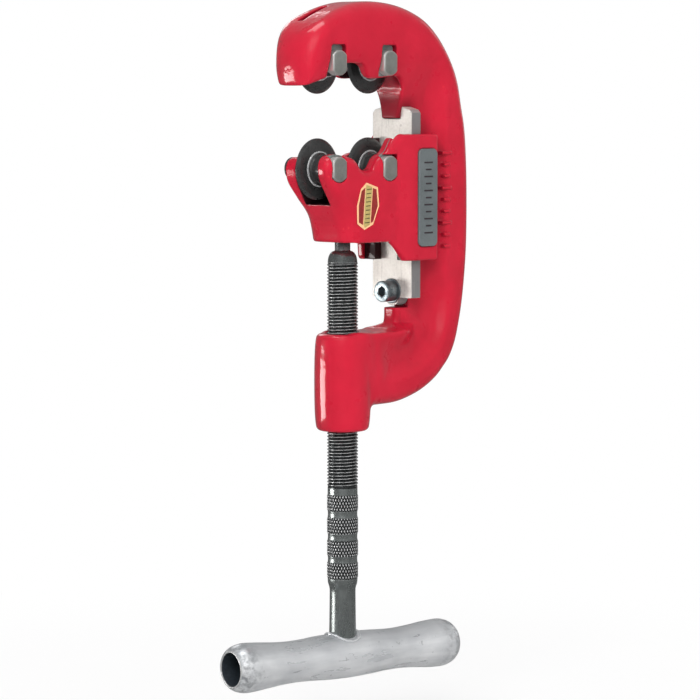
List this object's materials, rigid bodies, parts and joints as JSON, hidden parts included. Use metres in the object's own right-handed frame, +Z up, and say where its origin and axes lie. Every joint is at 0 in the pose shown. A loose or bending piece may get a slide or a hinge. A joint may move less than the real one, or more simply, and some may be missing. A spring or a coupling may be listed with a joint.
{
  "type": "pipe cutter",
  "caption": "Heavy pipe cutter with a cast C-frame, cutting wheels above and below the pipe, a sliding wheel housing, feed screw and tubular cross handle.",
  "frame": {"origin": "centre of the gripped pipe, on the feed screw axis midway between the upper and lower wheels", "axes": "+Z up along the feed screw towards the jaw, +X from the open side of the jaw to the column, Y along the wheel axles and the pipe"},
  "size_m": [0.159, 0.0476, 0.3557],
  "materials": {
    "red_paint": "glossy red enamel over cast iron",
    "worn_steel": "ground and scratched",
    "plated_steel": "bright zinc plated",
    "tool_steel": "dark satin tool steel",
    "pin_steel": "ground steel with bright chamfers",
    "spring_steel": "phosphated",
    "black_oxide": "black oxide, satin",
    "galvanised": "dull galvanised",
    "badge_grey": "satin grey",
    "label_print": "printed film"
  },
  "bodies": {
    "frame": {"frame": "red_paint", "wear_plate": "worn_steel", "stop_screw": "plated_steel", "stop_washer": "plated_steel", "pin_upper_outer": "pin_steel", "pin_upper_inner": "pin_steel", "clip_upper_outer": "spring_steel", "clip_upper_inner": "spring_steel"},
    "housing": {"slide_housing": "red_paint", "guide_badge": "badge_grey", "rating_label": "label_print", "pin_lower_outer": "pin_steel", "pin_lower_inner": "pin_steel", "clip_lower_outer": "spring_steel", "clip_lower_inner": "spring_steel", "retaining_pins": "spring_steel", "thrust_washer": "pin_steel"},
    "screw": {"feed_screw": "black_oxide", "thrust_ball": "plated_steel", "handle_tube": "galvanised", "handle_collar": "spring_steel"},
    "wheel_upper_outer": {"wheel_upper_outer": "tool_steel"},
    "wheel_upper_inner": {"wheel_upper_inner": "tool_steel"},
    "wheel_lower_outer": {"wheel_lower_outer": "tool_steel"},
    "wheel_lower_inner": {"wheel_lower_inner": "tool_steel"}
  },
  "joints": [
    {"name": "housing_slide", "type": "slide", "parent": "frame", "child": "housing", "axis": [0, 0, 1], "range_m": [-0.03, 0.02]},
    {"name": "screw_turn", "type": "hinge", "parent": "housing", "child": "screw", "pos_m": [0, 0, -0.15], "axis": [0, 0, 1], "range_deg": [-6350, 4230]},
    {"name": "upper_outer_spin", "type": "hinge", "parent": "frame", "child": "wheel_upper_outer", "pos_m": [-0.01925, 0, 0.0273], "axis": [0, 1, 0], "continuous": true},
    {"name": "upper_inner_spin", "type": "hinge", "parent": "frame", "child": "wheel_upper_inner", "pos_m": [0.01925, 0, 0.0273], "axis": [0, 1, 0], "continuous": true},
    {"name": "lower_outer_spin", "type": "hinge", "parent": "housing", "child": "wheel_lower_outer", "pos_m": [-0.01925, 0, -0.0273], "axis": [0, 1, 0], "continuous": true},
    {"name": "lower_inner_spin", "type": "hinge", "parent": "housing", "child": "wheel_lower_inner", "pos_m": [0.01925, 0, -0.0273], "axis": [0, 1, 0], "continuous": true}
  ],
  "couplings": [
    {"joint": "housing_slide", "follows": "screw_turn", "m_per_rad": 0.00027056}
  ]
}
